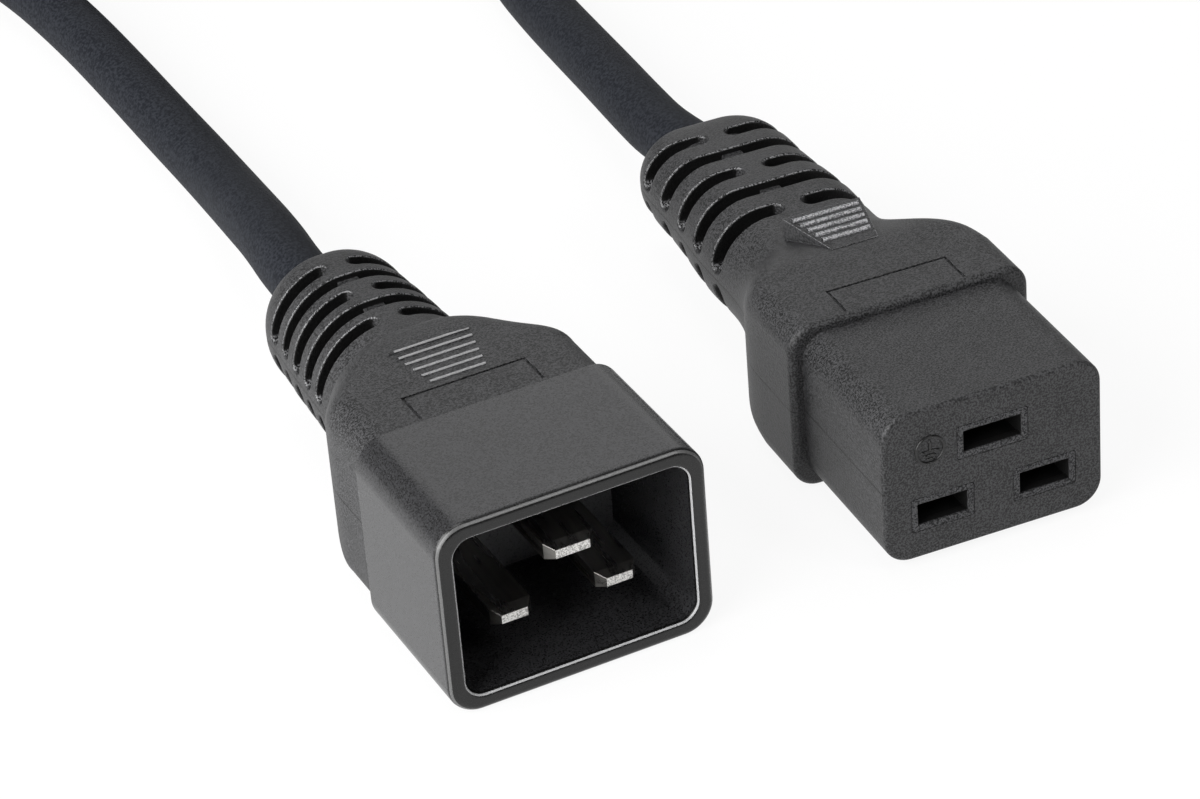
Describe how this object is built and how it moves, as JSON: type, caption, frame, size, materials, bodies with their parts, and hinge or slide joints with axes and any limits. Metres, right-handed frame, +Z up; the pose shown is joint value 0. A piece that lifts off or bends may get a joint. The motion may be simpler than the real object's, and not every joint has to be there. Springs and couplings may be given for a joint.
{
  "type": "c19 power connector on a mains lead",
  "caption": "Moulded C19 power connector with slotted strain relief, contacts inside, on a cord that ends in a shrouded C20 plug with flat blades.",
  "frame": {"origin": "bottom centre of the connector's own box, on the surface that it lies on, with the cord and plug left out", "axes": "+Y from the connector's mating face back along its axis to the cord, +Z up towards the earth contact, +X to the right seen from the mating face"},
  "size_m": [0.119, 0.3085, 0.0249],
  "materials": {
    "moulding_pvc": "fine-grained soft PVC, matte",
    "carrier_plastic": "matte moulded insert",
    "shroud_plastic": "smooth satin, glossy at the rim",
    "cable_sheath": "smooth satin PVC sheath",
    "contact_brass": "bright sheet",
    "blade_nickel": "nickel-plated, brushed",
    "copper_strands": "bare copper strands",
    "core_green_yellow": "green and yellow insulation",
    "core_brown": "brown insulation",
    "core_blue": "blue insulation"
  },
  "bodies": {
    "root": {"connector_overmould": "moulding_pvc", "contact_carrier": "carrier_plastic", "plug_overmould": "moulding_pvc", "plug_shroud": "shroud_plastic", "connector_sheath_end": "cable_sheath", "plug_sheath_end": "cable_sheath", "connector_cord": "cable_sheath", "plug_cord": "cable_sheath", "cord_coil": "cable_sheath", "earth_contact": "contact_brass", "line_contact": "contact_brass", "neutral_contact": "contact_brass", "earth_core": "core_green_yellow", "line_core": "core_brown", "neutral_core": "core_blue", "plug_earth_core": "core_green_yellow", "plug_line_core": "core_brown", "plug_neutral_core": "core_blue", "earth_strands": "copper_strands", "line_strands": "copper_strands", "neutral_strands": "copper_strands", "plug_earth_strands": "copper_strands", "plug_line_strands": "copper_strands", "plug_neutral_strands": "copper_strands", "plug_earth_blade": "blade_nickel", "plug_line_blade": "blade_nickel", "plug_neutral_blade": "blade_nickel"}
  },
  "joints": []
}
